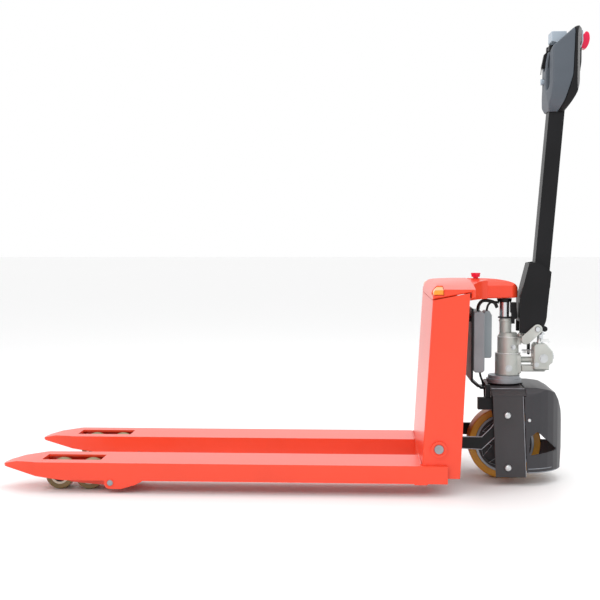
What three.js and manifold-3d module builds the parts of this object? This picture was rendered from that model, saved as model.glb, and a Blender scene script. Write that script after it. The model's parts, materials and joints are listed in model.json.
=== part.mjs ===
// Semi-electric pallet jack, in millimetres, +X towards the tiller, +Z up, floor at Z = 0.
// Places are given from the front foot of the mast (X = 0); the whole object is centred at the end.
import * as THREE from 'three';
import Module from 'manifold-3d';
import { mergeVertices } from 'three/addons/utils/BufferGeometryUtils.js';

const wasm = await Module();
wasm.setup();

// ---- driving dimensions ----
const gap = 0.4; // between neighbouring pieces of one body
const play = 1.0; // between pieces that move against each other

const forkLength = 1150;
const forkWidth = 160;
const overallWidth = 560;
const forkTop = 85;
const forkBottom = 36;
const forkWall = 6;
const tipHeight = 66;
const tipTaper = 110;
const heelX = 95;

const mastHeight = 540;
const mastDepth = 133;
const mastLean = 28;
const mastWall = 6;
const mastFrontX = 24;
const mastFrontLean = 27;
const mastCorner = 9;
const mastBow = 2;
const seatDrop = 0.6; // the mast stands in a seat this much below the forks' top
const mastInset = 15; // side of the mast in from the side of the fork
const hoodRise = 42;
const hoodFront = 52;
const hoodBack = 168;
const bracketX = 174;
const noseHalfWidth = 33;
const noseRoot = 110;
const noseEnd = 315;

const rollerRadius = 40;
const rollerWidth = 60;
const rollerPitch = 84;
const tipX = -forkLength;
const bogieX = tipX + 206.5;
const armPivot = { x: tipX + 319, z: 30 };
const armLever = { x: 21, z: 31.7 };
const armPinRadius = 8;
const lugRadius = 17;
const rodPinRadius = 6;

const rockerShaft = { x: 71.6, z: 128.8 };
const rockerShaftRadius = 12.5;
const crank = { x: 21.05, z: -77.5 };
const rockerArmInner = 112.4;
const rockerArmThick = 6.6;

const steerX = 277; // steering axis, upright
const wheelRadius = 105;
const wheelWidth = 70;
const tyreThick = 20;
const axleRadius = 12;
const yokeInner = wheelWidth / 2 + 5;
const yokeThick = 7;
const yokeTopZ = wheelRadius * 2 + 8;
const carriagePlateInner = 124;
const carriagePlateThick = 6;
const carriageTopZ = 274;
const shoulderZ = 260;
const plateRear = (z) => 316 + ((shoulderZ - z) * 11) / 236;
const carriagePin = { x: 272.6, z: 202 };
const carriagePinRadius = 7;
const coverWall = 4;
const coverRim = 38;

const columnRadius = 24; // steering neck through the carriage
const pumpRadius = 31;
const castingLineZ = 365;
const barrelX = 288.5;
const neckX = steerX + 3;
const pumpBaseZ = 302;
const pumpTopZ = 468;
const ramRadius = 14;
const ramTopZ = 515;
const ramBottomZ = 322;

const tillerPivot = { x: 367, z: 439 };
const tillerPinRadius = 7;
const tillerLean = 4.63; // degrees, top away from the forks
const tillerInner = 36;
const tillerWall = 5;
const tubeDepth = 44;
const tubeWidth = 56;
const tubeWall = 3;
const tubeTopZ = 1096;
const headHalfWidth = 92;
const headBaseZ = 1062;
const plungerRadius = 9;
const buttonBack = 511; // rearmost point of the whole object

const round = 28; // facets of a turned piece
const forkMid = overallWidth / 2 - forkWidth / 2;
const mastHalf = overallWidth / 2 - mastInset;
const mastBaseZ = forkTop - seatDrop + gap;

// ---- colours ----
const paint = (color, roughness, metalness) => new THREE.MeshStandardMaterial({ color, roughness, metalness });
const red = paint(0xf0512f, 0.35, 0.1);
const castSilver = paint(0xbec1bc, 0.5, 0.6);
const steel = paint(0xc9ccd0, 0.3, 0.9);
const black = paint(0x1e2020, 0.5, 0.2);
const darkPlate = paint(0x4b4849, 0.5, 0.3);
const darkPlastic = paint(0x45434a, 0.55, 0.0);
const greyBox = paint(0x969ba0, 0.5, 0.3);
const amber = paint(0xcd9632, 0.45, 0.0);
const rollerTyre = paint(0x8a7a4a, 0.5, 0.0);
const headGrey = paint(0x5c616b, 0.5, 0.0);
const lightGrey = paint(0xb9c3cd, 0.5, 0.0);
const crimson = paint(0xeb1e4b, 0.35, 0.0);
const signalRed = paint(0xe01f3a, 0.35, 0.0);
const orangeLens = paint(0xff9a30, 0.2, 0.0);
const rubber = paint(0x18181a, 0.8, 0.0);

// ---- joins and cuts ----
function asSolid(geometry) {
  const bare = new THREE.BufferGeometry();
  const flat = geometry.index ? geometry.toNonIndexed() : geometry;
  bare.setAttribute('position', flat.attributes.position);
  const merged = mergeVertices(bare, 1e-4);
  const mesh = new wasm.Mesh({
    numProp: 3,
    vertProperties: new Float32Array(merged.attributes.position.array),
    triVerts: new Uint32Array(merged.index.array),
  });
  return new wasm.Manifold(mesh);
}

const join = (...solids) => solids.reduce((whole, next) => whole.add(next));
const cut = (solid, ...tools) => tools.reduce((whole, tool) => whole.subtract(tool), solid);
const moved = (solid, x, y, z) => solid.translate([x, y, z]);
const mirrored = (solid) => solid.mirror([0, 1, 0]);
const bothSides = (solid) => join(solid, mirrored(solid));

function asGeometry(solid) {
  const mesh = solid.getMesh();
  const geometry = new THREE.BufferGeometry();
  geometry.setAttribute('position', new THREE.BufferAttribute(mesh.vertProperties, 3));
  geometry.setIndex(new THREE.BufferAttribute(mesh.triVerts, 1));
  const faceted = geometry.toNonIndexed();
  faceted.computeVertexNormals();
  return faceted;
}

// ---- basic solids ----
function block(x0, x1, y0, y1, z0, z1) {
  const geometry = new THREE.BoxGeometry(x1 - x0, y1 - y0, z1 - z0);
  geometry.translate((x0 + x1) / 2, (y0 + y1) / 2, (z0 + z1) / 2);
  return asSolid(geometry);
}

// A cross rod: a cylinder along Y between y0 and y1.
function rod(x, z, radius, y0, y1, facets = round) {
  const geometry = new THREE.CylinderGeometry(radius, radius, y1 - y0, facets);
  geometry.translate(x, (y0 + y1) / 2, z);
  return asSolid(geometry);
}

// An upright cylinder between z0 and z1, which can taper.
function post(x, y, radius, z0, z1, topRadius = radius, facets = round) {
  const geometry = new THREE.CylinderGeometry(topRadius, radius, z1 - z0, facets);
  geometry.rotateX(Math.PI / 2);
  geometry.translate(x, y, (z0 + z1) / 2);
  return asSolid(geometry);
}

// A cylinder along X between x0 and x1.
function bar(x0, x1, y, z, radius, facets = round) {
  const geometry = new THREE.CylinderGeometry(radius, radius, x1 - x0, facets);
  geometry.rotateZ(-Math.PI / 2);
  geometry.translate((x0 + x1) / 2, y, z);
  return asSolid(geometry);
}

function shapeOf(points) {
  const shape = new THREE.Shape();
  points.forEach(([u, v], i) => (i ? shape.lineTo(u, v) : shape.moveTo(u, v)));
  shape.closePath();
  return shape;
}

// A side-view outline, [x, z] points, given thickness from y0 to y1.
function sidePlate(points, y0, y1, bevel = 0) {
  const shape = points instanceof THREE.Shape ? points : shapeOf(points);
  const geometry = new THREE.ExtrudeGeometry(shape, {
    depth: y1 - y0 - 2 * bevel,
    bevelEnabled: bevel > 0,
    bevelThickness: bevel,
    bevelSize: bevel,
    bevelOffset: -bevel,
    bevelSegments: 1,
    curveSegments: 6,
  });
  geometry.rotateX(Math.PI / 2);
  geometry.translate(0, y1 - bevel, 0);
  return asSolid(geometry);
}

// A plan-view outline, [x, y] points, given thickness from z0 to z1.
function floorPlate(points, z0, z1) {
  const shape = points instanceof THREE.Shape ? points : shapeOf(points);
  const geometry = new THREE.ExtrudeGeometry(shape, { depth: z1 - z0, bevelEnabled: false, curveSegments: 8 });
  geometry.translate(0, 0, z0);
  return asSolid(geometry);
}

// A rear-view outline, [y, z] points, given thickness from x0 to x1.
function endPlate(points, x0, x1) {
  const shape = points instanceof THREE.Shape ? points : shapeOf(points);
  const geometry = new THREE.ExtrudeGeometry(shape, { depth: x1 - x0, bevelEnabled: false, curveSegments: 8 });
  geometry.rotateX(Math.PI / 2);
  geometry.rotateZ(Math.PI / 2);
  geometry.translate(x0, 0, 0);
  return asSolid(geometry);
}

// A stadium-shaped link from one eye to another, along Y between y0 and y1.
function link(a, b, radius, y0, y1) {
  const angle = Math.atan2(b.z - a.z, b.x - a.x);
  const shape = new THREE.Shape();
  shape.absarc(a.x, a.z, radius, angle + Math.PI / 2, angle - Math.PI / 2 + 2 * Math.PI, false);
  shape.absarc(b.x, b.z, radius, angle - Math.PI / 2, angle + Math.PI / 2, false);
  return sidePlate(shape, y0, y1);
}

// A round cord or hose through a list of [x, y, z] points.
function cord(points, radius, steps) {
  const path = new THREE.CatmullRomCurve3(points.map((p) => new THREE.Vector3(...p)));
  const ring = new THREE.Shape();
  ring.absarc(0, 0, radius, 0, Math.PI * 2, false);
  const geometry = new THREE.ExtrudeGeometry(ring, { steps, extrudePath: path, curveSegments: 8 });
  return asSolid(geometry);
}

const jack = new THREE.Group();
function piece(name, solid, material) {
  const mesh = new THREE.Mesh(asGeometry(solid), material);
  mesh.name = name;
  jack.add(mesh);
}

// ---- fork frame ----
function forkOutline() {
  const tip = -forkLength;
  return [
    [tip, tipHeight - 3],
    [tip + 140, forkBottom + 6],
    [tip + 185, forkBottom],
    [heelX, forkBottom],
    [heelX, forkTop],
    [tip + 100, forkTop],
    [tip + 48, forkTop - 4],
    [tip + 14, forkTop - 12],
    [tip, forkTop - 17],
  ];
}

function forkPlan() {
  const half = forkWidth / 2;
  const shoulder = -forkLength + tipTaper;
  const nose = 26;
  const shape = new THREE.Shape();
  shape.moveTo(shoulder, forkMid - half);
  shape.lineTo(heelX, forkMid - half);
  shape.lineTo(heelX, forkMid + half);
  shape.lineTo(shoulder, forkMid + half);
  shape.lineTo(-forkLength + 12, forkMid + nose);
  shape.quadraticCurveTo(-forkLength, forkMid + nose - 8, -forkLength, forkMid);
  shape.quadraticCurveTo(-forkLength, forkMid - nose + 8, -forkLength + 12, forkMid - nose);
  return shape;
}

function fork() {
  const half = forkWidth / 2;
  const inner = half - forkWall;
  const lugTop = forkBottom + 4;
  const shell = sidePlate(forkOutline(), forkMid - half, forkMid + half).intersect(
    floorPlate(forkPlan(), 0, forkTop),
  );
  const channel = block(tipX + 114, heelX + 10, forkMid - inner, forkMid + inner, 0, forkTop - forkWall);
  const tipHollow = block(tipX + 78, tipX + 115, forkMid - 42, forkMid + 42, 0, forkTop - forkWall);
  const rollerSlot = block(tipX + 117, tipX + 284, forkMid - 37, forkMid + 37, forkTop - 20, forkTop + 1);
  const mastSeat = block(mastFrontX - 3, heelX + 10, 0, overallWidth, forkTop - seatDrop, forkTop + 1);
  const crankSlot = block(31, heelX + 10, forkMid - 19, forkMid + 19, forkTop - 20, forkTop + 1);
  const lugShape = new THREE.Shape();
  lugShape.moveTo(armPivot.x - lugRadius, lugTop);
  lugShape.lineTo(armPivot.x - lugRadius, armPivot.z);
  lugShape.absarc(armPivot.x, armPivot.z, lugRadius, Math.PI, Math.PI * 1.5, false);
  lugShape.lineTo(armPivot.x + 30, armPivot.z - lugRadius);
  lugShape.lineTo(armPivot.x + 70, armPivot.z - 5);
  lugShape.lineTo(armPivot.x + 98, lugTop);
  const lugs = join(
    sidePlate(lugShape, forkMid - half, forkMid - inner),
    sidePlate(lugShape, forkMid + inner, forkMid + half),
  );
  const heelFoot = sidePlate(
    [[2, forkBottom + 1], [6, forkBottom - 3], [38, forkBottom - 3], [44, forkBottom + 1]],
    forkMid + inner,
    forkMid + half,
  );
  const pinHole = rod(armPivot.x, armPivot.z, armPinRadius + gap, forkMid - half - 1, forkMid + half + 1);
  return cut(join(shell, lugs, heelFoot), channel, tipHollow, rollerSlot, crankSlot, mastSeat, pinHole);
}

function mastSide(y0, y1) {
  return sidePlate(
    [
      [0, mastBaseZ + 9],
      [4, mastBaseZ],
      [mastDepth - 2, mastBaseZ],
      [mastDepth + mastLean - 8, mastHeight + 14],
      [mastFrontX + mastFrontLean - 3, mastHeight - 6.5],
    ],
    y0,
    y1,
  );
}

// Plan of the mast at its foot: a slightly bowed front with rounded corners, set in by inset.
function mastPlan(inset) {
  const half = mastHalf - inset;
  const front = mastFrontX + inset;
  const back = mastDepth + 120;
  const shape = new THREE.Shape();
  shape.moveTo(back, -half);
  shape.lineTo(front + mastBow + mastCorner, -half);
  shape.quadraticCurveTo(front + mastBow, -half, front + mastBow, -half + mastCorner);
  shape.quadraticCurveTo(front - mastBow, 0, front + mastBow, half - mastCorner);
  shape.quadraticCurveTo(front + mastBow, half, front + mastBow + mastCorner, half);
  shape.lineTo(back, half);
  return shape;
}

// The mast's plan carried upwards along its leaning front.
function leaningColumn(inset, z0, z1) {
  const slope = mastFrontLean / (mastHeight - mastBaseZ);
  const geometry = new THREE.ExtrudeGeometry(mastPlan(inset), {
    depth: z1 - z0,
    bevelEnabled: false,
    curveSegments: 6,
  });
  geometry.translate(0, 0, z0 - mastBaseZ);
  geometry.applyMatrix4(new THREE.Matrix4().makeShear(0, 0, 0, 0, slope, 0));
  geometry.translate(0, 0, mastBaseZ);
  return asSolid(geometry);
}

// The stretch of the mast's side that runs down behind the fork heel.
function mastSkirt() {
  return sidePlate(
    [
      [heelX + gap, 48],
      [mastDepth - 4, 48],
      [mastDepth - 2, mastBaseZ + 2],
      [heelX + gap, mastBaseZ + 2],
    ],
    mastHalf - mastWall,
    mastHalf,
  );
}

// The folded box of the mast: front and two sides, open at the back and below.
function mastShell() {
  const whole = mastSide(-mastHalf, mastHalf).intersect(leaningColumn(0, mastBaseZ - 5, mastHeight + 40));
  const hollow = leaningColumn(mastWall, mastBaseZ - 2, mastHeight + 40);
  const boss = rod(rockerShaft.x, rockerShaft.z, 22, mastHalf - 1, mastHalf + 7);
  const shaftHole = rod(rockerShaft.x, rockerShaft.z, rockerShaftRadius + gap, -mastHalf - 9, mastHalf + 9);
  const rim = rod(rockerShaft.x, rockerShaft.z, 16, mastHalf + 3, mastHalf + 9, 24);
  return cut(join(cut(whole, hollow), bothSides(join(boss, mastSkirt()))), shaftHole, bothSides(rim));
}

// The cross member that ties both forks together at the heel.
function heelCrossmember() {
  const reach = forkMid - forkWidth / 2 - gap;
  return cut(
    block(mastFrontX, mastFrontX + 40, -reach, reach, forkBottom + 4, mastBaseZ - gap),
    block(mastFrontX + 6, mastFrontX + 34, -reach - 1, reach + 1, forkBottom + 10, forkTop - 7),
  );
}

// Tray of the battery: its floor and its back wall, between the sides of the mast.
function batteryTray() {
  const back = mastDepth + 3;
  const outline = [
    [0, 164],
    [back, 164],
    [mastDepth + 17, mastHeight - 12],
    [mastDepth + 12, mastHeight - 12],
    [back - 5, 169],
    [0, 169],
  ];
  const slab = sidePlate(outline, -mastHalf, mastHalf);
  return slab.intersect(leaningColumn(mastWall + gap, mastBaseZ, mastHeight));
}

function batteryPack() {
  return block(60, 124, -170, 170, 169 + gap, 480);
}

// ---- hood over the mast, with its long nose ----
// A crowned cross-section: upright sides to edgeZ, then a low arch up to midZ.
function crown(half, edgeZ, midZ, x0, x1) {
  const shape = new THREE.Shape();
  shape.moveTo(-half, mastHeight - 60);
  shape.lineTo(half, mastHeight - 60);
  shape.lineTo(half, edgeZ);
  shape.quadraticCurveTo(0, 2 * midZ - edgeZ, -half, edgeZ);
  return endPlate(shape, x0, x1);
}

function hood() {
  const baseFront = mastHeight - 5;
  const baseBack = mastHeight + 15;
  const shape = new THREE.Shape();
  shape.moveTo(hoodFront - 1, baseFront + 1);
  shape.lineTo(hoodFront, baseFront + 16);
  shape.quadraticCurveTo(hoodFront + 7, mastHeight + 33, hoodFront + 28, mastHeight + 37);
  shape.lineTo(120, mastHeight + hoodRise);
  shape.lineTo(hoodBack, mastHeight + hoodRise + 3);
  shape.lineTo(hoodBack, baseBack - 14);
  shape.lineTo(mastDepth + 24, baseBack - 14);
  shape.lineTo(mastDepth + 24, baseBack + 1);
  const body = sidePlate(shape, -mastHalf, mastHalf, 4).intersect(
    crown(mastHalf, mastHeight + 24, mastHeight + hoodRise + 2, 0, 200),
  );
  const under = sidePlate(
    [
      [hoodFront + 12, baseFront - 20],
      [mastDepth + 24, baseBack - 20],
      [mastDepth + 24, mastHeight + 17],
      [hoodFront + 32, mastHeight + 17],
      [hoodFront + 12, mastHeight + 12],
    ],
    -mastHalf + 8,
    mastHalf - 8,
  );
  const bedBack = hoodFront + 31;
  const bed = block(hoodFront - 4, bedBack, mastHalf - 58, mastHalf + 2, mastHeight + 8, mastHeight + 60);
  return cut(body.intersect(leaningColumn(-0.5, mastHeight - 60, mastHeight + 90)), under, bed, mirrored(bed));
}

function noseBeam() {
  const start = hoodBack + gap;
  const shape = new THREE.Shape();
  shape.moveTo(start, mastHeight - 15);
  shape.lineTo(start, mastHeight + 45);
  shape.lineTo(225, mastHeight + 44);
  shape.quadraticCurveTo(275, mastHeight + 41, 297, mastHeight + 33);
  shape.quadraticCurveTo(noseEnd, mastHeight + 24, noseEnd, mastHeight + 10);
  shape.lineTo(noseEnd - 2, mastHeight - 11);
  const beam = sidePlate(shape, -noseHalfWidth, noseHalfWidth, 3);
  const narrow = beam.intersect(crown(noseHalfWidth, mastHeight + 24, mastHeight + 45, start, 400));
  const wide = crown(noseRoot, mastHeight + 20, mastHeight + 42, start, 224).intersect(
    sidePlate(
      [
        [start, mastHeight - 15],
        [start, mastHeight + 50],
        [224, mastHeight + 50],
        [224, mastHeight - 14],
      ],
      -200,
      200,
    ),
  );
  const plan = new THREE.Shape();
  plan.moveTo(start, -noseRoot);
  plan.quadraticCurveTo(190, -noseHalfWidth - 20, 226, -noseHalfWidth);
  const tipAngle = Math.asin(noseHalfWidth / (noseEnd - steerX));
  plan.absarc(steerX, 0, noseEnd - steerX, -tipAngle, tipAngle, false);
  plan.lineTo(226, noseHalfWidth);
  plan.quadraticCurveTo(190, noseHalfWidth + 20, start, noseRoot);
  const room = noseHalfWidth - 5;
  const hollow = block(start + 5, noseEnd - 60, -room, room, mastHeight - 30, mastHeight + 24);
  const ramSeatBolt = post(steerX, 0, 6 + gap, mastHeight - 30, mastHeight + 10);
  const buttonWell = post(193, 0, 8 + gap, mastHeight + 15, mastHeight + 60);
  const whole = join(narrow, wide).intersect(floorPlate(plan, 0, mastHeight + 90));
  return cut(whole, hollow, ramSeatBolt, buttonWell);
}

function lens() {
  const shape = new THREE.Shape();
  shape.moveTo(hoodFront + 3, mastHeight + 9);
  shape.lineTo(hoodFront + 3, mastHeight + 16);
  shape.quadraticCurveTo(hoodFront + 9, mastHeight + 31, hoodFront + 30, mastHeight + 35);
  shape.lineTo(hoodFront + 30, mastHeight + 9);
  const bar = sidePlate(shape, mastHalf - 57, mastHalf - 1, 2);
  const arch = crown(mastHalf, mastHeight + 22, mastHeight + hoodRise, 0, 200);
  return bar.intersect(leaningColumn(1, mastHeight - 60, mastHeight + 90)).intersect(arch);
}

function stopButton() {
  const stem = post(193, 0, 7.5, mastHeight + 34, mastHeight + 49);
  const cap = post(193, 0, 12, mastHeight + 48, mastHeight + 60, 14);
  return join(stem, cap);
}

// ---- electrics behind the mast ----
function bracket() {
  const plate = sidePlate(
    [
      [bracketX, 290],
      [bracketX, 500],
      [bracketX + 6, 500],
      [bracketX + 6, 294],
      [209, 268],
      [220, 268],
      [220, 262],
      [207, 262],
    ],
    -82,
    82,
  );
  const foot = block(bracketX + 20, 230, -90, 90, 230, 300);
  const narrowFoot = block(bracketX + 10, 230, -30, 30, 230, 300);
  const spacer = (y, z) => bar(mastDepth + 18.6, bracketX + 1, y, z, 8, 12);
  const spacers = join(spacer(-60, 470), spacer(60, 470));
  return join(cut(plate, cut(foot, narrowFoot)), spacers);
}

function boxOne() {
  const left = bracketX + 6 + gap;
  const outline = [
    [left, 322],
    [left + 6, 316],
    [207, 316],
    [213, 322],
    [213, 484],
    [207, 490],
    [left + 4, 490],
    [left, 486],
  ];
  const ribs = [-60, -30, 0, 30, 60].map((y) => block(206, 216, y - 2, y + 2, 330, 476));
  return cut(sidePlate(outline, -78, 78, 2), ...ribs);
}

function boxTwo() {
  return sidePlate(
    [
      [214, 360],
      [218, 353],
      [235, 353],
      [238, 358],
      [238, 478],
      [231, 490],
      [219, 490],
      [214, 484],
    ],
    -30,
    30,
    2,
  );
}

function harness() {
  const points = [
    [200, 0, 491.6],
    [203, 0, 506],
    [214, 0, 518],
    [232, 0, 518],
    [249, 0, 512],
    [256, 0, 498],
  ];
  return cord(points, 5, 18);
}

// ---- lift cylinder ----
function ram() {
  return post(steerX, 0, ramRadius, ramBottomZ, ramTopZ);
}

function ramSeat() {
  const cup = post(steerX, 0, 20, ramTopZ + gap, mastHeight - 14 - gap, 22);
  return join(cup, post(steerX, 0, 6, mastHeight - 15, mastHeight + 8));
}

// ---- linkage in the frame ----
function armPin() {
  const half = forkWidth / 2;
  return rod(armPivot.x, armPivot.z, armPinRadius, forkMid - half - 2, forkMid + half + 2, 20);
}

function shaftPin() {
  return rod(rockerShaft.x, rockerShaft.z, rockerShaftRadius, -mastHalf - 4, mastHalf + 4);
}

// ---- rocker, push rods and load arms ----
const crankPin = { x: rockerShaft.x + crank.x, z: rockerShaft.z + crank.z };
const lugPin = { x: armPivot.x + armLever.x, z: armPivot.z + armLever.z };
const pinAngle = Math.atan2(carriagePin.z - rockerShaft.z, carriagePin.x - rockerShaft.x);
const alongArm = (reach) => ({
  x: rockerShaft.x + reach * Math.cos(pinAngle),
  z: rockerShaft.z + reach * Math.sin(pinAngle),
});

function rockerArm() {
  const web = [
    [60, 109],
    [202, 102],
    [238, 136],
    [284, 186],
    [262, 219],
    [230, 166],
    [202, 138],
    [150, 138],
    [62, 149],
  ];
  const y0 = rockerArmInner;
  const y1 = rockerArmInner + rockerArmThick;
  const eye = link(alongArm(200), alongArm(215), 18, y0, y1);
  const slot = link(alongArm(200.5), alongArm(214.5), carriagePinRadius + 1.9, y0 - 1, y1 + 1);
  return cut(join(sidePlate(web, y0, y1), eye), slot);
}

function rockerFrame() {
  const tube = rod(rockerShaft.x, rockerShaft.z, 22, -forkMid - 28, forkMid + 28);
  const arm = rockerArm();
  const brace = block(96, 106, -rockerArmInner - 1, rockerArmInner + 1, 112, 136);
  const cheek = (y) => link(rockerShaft, crankPin, 13, y, y + 6);
  const pin = rod(crankPin.x, crankPin.z, rodPinRadius, forkMid - 14, forkMid + 14, 16);
  const cranks = bothSides(join(cheek(forkMid - 14), cheek(forkMid + 8), pin));
  const bore = rod(rockerShaft.x, rockerShaft.z, rockerShaftRadius + play, -forkMid - 40, forkMid + 40);
  return cut(join(tube, arm, mirrored(arm), brace, cranks), bore);
}

function pushRod() {
  const bodyShape = link(crankPin, lugPin, 9, forkMid - 6, forkMid + 6);
  const frontEye = rod(lugPin.x, lugPin.z, 14, forkMid - 6, forkMid + 6, 20);
  const crankHole = rod(crankPin.x, crankPin.z, rodPinRadius + play, forkMid - 9, forkMid + 9, 16);
  const low = { x: lugPin.x, z: lugPin.z - 1 };
  const high = { x: lugPin.x, z: lugPin.z + 20 };
  const lugHole = link(low, high, rodPinRadius + 2, forkMid - 9, forkMid + 9);
  return cut(join(bodyShape, frontEye), crankHole, lugHole);
}

const armCheekInner = 40;
const bogiePivot = { x: bogieX, z: rollerRadius };

function loadArm() {
  const cheek = (y) => link(armPivot, bogiePivot, 15, y, y + 8);
  const tube = rod(armPivot.x, armPivot.z, 14, forkMid - 60, forkMid + 60, 20);
  const lug = (y) => link(armPivot, lugPin, 9, y, y + 7);
  const pin = rod(lugPin.x, lugPin.z, rodPinRadius, forkMid - 14, forkMid + 14, 16);
  const inner = forkMid - armCheekInner - 8;
  const outer = forkMid + armCheekInner;
  const bore = rod(armPivot.x, armPivot.z, armPinRadius + play, forkMid - 70, forkMid + 70, 20);
  const bogieHole = rod(bogiePivot.x, bogiePivot.z, 6 + play, forkMid - 60, forkMid + 60, 16);
  return cut(join(cheek(inner), cheek(outer), tube, lug(forkMid - 15), lug(forkMid + 8), pin), bore, bogieHole);
}

function bogie() {
  const front = { x: bogieX - rollerPitch / 2, z: rollerRadius };
  const rear = { x: bogieX + rollerPitch / 2, z: rollerRadius };
  const cheek = (y) => link(front, rear, 11, y, y + 5);
  const y0 = forkMid - rollerWidth / 2 - play - 5;
  const y1 = forkMid + rollerWidth / 2 + play;
  const axle = (at) => rod(at.x, at.z, 8, y0, y1 + 5, 16);
  const innerStub = rod(bogieX, rollerRadius, 6, forkMid - armCheekInner - 8, y0 + 1, 16);
  const outerStub = rod(bogieX, rollerRadius, 6, y1 + 4, forkMid + armCheekInner + 8, 16);
  return join(cheek(y0), cheek(y1), axle(front), axle(rear), innerStub, outerStub);
}

function rollerTyreRing(x) {
  const half = rollerWidth / 2;
  const ring = rod(x, rollerRadius, rollerRadius, forkMid - half, forkMid + half, 32);
  return cut(ring, rod(x, rollerRadius, 8 + play, forkMid - half - 1, forkMid + half + 1, 16));
}

// ---- drive carriage ----
function carriageFrame() {
  const y0 = carriagePlateInner;
  const y1 = y0 + carriagePlateThick;
  const flat = y1 - 24;
  const plate = sidePlate([[231, shoulderZ], [plateRear(shoulderZ), shoulderZ], [327, 24], [242, 24]], y0, y1);
  const bolt = rod(275.7, 52, 8, y1 - 1, y1 + 6, 20);
  const pinHole = rod(carriagePin.x, carriagePin.z, carriagePinRadius + gap, -y1 - 9, y1 + 9, 20);
  const deckOutline = [
    [-y1 - 2, shoulderZ - 3],
    [y1 + 2, shoulderZ - 3],
    [y1 + 2, shoulderZ],
    [flat, carriageTopZ],
    [-flat, carriageTopZ],
    [-y1 - 2, shoulderZ],
  ];
  const underOutline = [
    [-y0 + 4, shoulderZ - 4],
    [y0 - 4, shoulderZ - 4],
    [flat - 4, carriageTopZ - 6],
    [-flat + 4, carriageTopZ - 6],
  ];
  const deck = cut(endPlate(deckOutline, 229, 324), endPlate(underOutline, 220, 340));
  const neckHole = post(steerX, 0, columnRadius + play, carriageTopZ - 30, carriageTopZ + 10);
  return cut(join(deck, bothSides(join(plate, bolt))), neckHole, pinHole);
}

function coverPlan(shrink) {
  const half = 132 - shrink;
  const shape = new THREE.Shape();
  shape.moveTo(300, -half);
  shape.lineTo(320, -half);
  shape.absellipse(320, 0, 123 - shrink, half, -Math.PI / 2, Math.PI / 2, false);
  shape.lineTo(300, half);
  return shape;
}

function coverSide(shrink) {
  const top = carriageTopZ + 3 - shrink;
  const rim = coverRim - shrink * 2;
  return [
    [300, top],
    [356 - shrink, top],
    [392 - shrink, top - 5],
    [412 - shrink, top - 15],
    [426 - shrink, top - 40],
    [438 - shrink, 200],
    [443 - shrink, 154],
    [441 - shrink, 96],
    [433 - shrink, rim],
    [300, rim],
  ];
}

// Front view of the cover: upright sides that turn in to the deck's shoulder.
function coverFront(shrink) {
  const half = 132 - shrink;
  const top = carriageTopZ + 3 - shrink;
  const rim = coverRim - shrink * 2;
  return [
    [-half, rim],
    [half, rim],
    [half, shoulderZ - 8],
    [half - 6, shoulderZ + 2],
    [half - 26, top],
    [-half + 26, top],
    [-half + 6, shoulderZ + 2],
    [-half, shoulderZ - 8],
  ];
}

function coverBody(shrink) {
  return floorPlate(coverPlan(shrink), 0, 300)
    .intersect(sidePlate(coverSide(shrink), -140, 140))
    .intersect(endPlate(coverFront(shrink), 250, 500));
}

function driveCover() {
  const open = [
    [200, 0],
    [plateRear(0) + 2, 0],
    [plateRear(300) + 2, 300],
    [200, 300],
  ];
  const front = sidePlate(open, -150, 150);
  const band = cut(floorPlate(coverPlan(6), coverRim, coverRim + 11), front);
  const shell = cut(join(coverBody(0), band), coverBody(coverWall));
  const window = sidePlate([[334, 88], [420, 97], [358, 154], [338, 140]], -150, 150);
  const ringRoom = post(steerX, 0, 54, carriageTopZ - 30, 300);
  const underDeck = block(200, 324 + gap, -140, 140, shoulderZ - 5, 300);
  return cut(shell, front, window, ringRoom, underDeck);
}

function bearingRingLower() {
  const ring = post(steerX, 0, 48, carriageTopZ + gap, 280 - play);
  return cut(ring, post(steerX, 0, columnRadius + play, carriageTopZ - 5, 290));
}

function sensorBlock() {
  const housing = block(192, 236, -108, -82, 214, 247);
  const hanger = block(230, 246, -100, -84, 236, carriageTopZ - 6 - gap);
  const plug = block(214, 227, -102, -88, 246, 284);
  return join(housing, hanger, plug);
}

// The pivot pin of a rocker arm, pushed through the plate from outside.
function carriagePivot() {
  const outside = carriagePlateInner + carriagePlateThick;
  const shank = rod(carriagePin.x, carriagePin.z, carriagePinRadius, rockerArmInner - 0.4, outside + 2, 20);
  const head = rod(carriagePin.x, carriagePin.z, 8, outside + gap, outside + 7, 20);
  return join(shank, head);
}

// ---- steering column ----
function wheelFork() {
  const inner = yokeInner;
  const outer = inner + yokeThick;
  const crown = block(steerX - 42, steerX + 42, -outer, outer, yokeTopZ, yokeTopZ + 9);
  const leg = sidePlate(
    [
      [steerX - 42, yokeTopZ + 1],
      [steerX + 42, yokeTopZ + 1],
      [steerX + 22, wheelRadius - 14],
      [steerX - 22, wheelRadius - 14],
    ],
    inner,
    outer,
  );
  const neck = post(steerX, 0, columnRadius, yokeTopZ + 8, 280 - gap);
  const axleHole = rod(steerX, wheelRadius, axleRadius + gap, -outer - 1, outer + 1);
  return cut(join(crown, bothSides(leg), neck), axleHole);
}

function wheelAxle() {
  const reach = yokeInner + yokeThick + 4;
  return rod(steerX, wheelRadius, axleRadius, -reach, reach);
}

function driveTyre() {
  const half = wheelWidth / 2;
  const ring = rod(steerX, wheelRadius, wheelRadius, -half, half, 48);
  return cut(ring, rod(steerX, wheelRadius, wheelRadius - tyreThick, -half - 1, half + 1, 48));
}

function driveHub() {
  const half = wheelWidth / 2;
  const disc = rod(steerX, wheelRadius, wheelRadius - tyreThick - gap, -half, half, 48);
  const recess = rod(steerX, wheelRadius, 70, half - 8, half + 1, 36);
  const motor = rod(steerX, wheelRadius, 40, half - 9, half, 28);
  const bore = rod(steerX, wheelRadius, axleRadius + play, -half - 1, half + 1);
  return cut(join(cut(disc, recess, mirrored(recess)), bothSides(motor)), bore);
}

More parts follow.
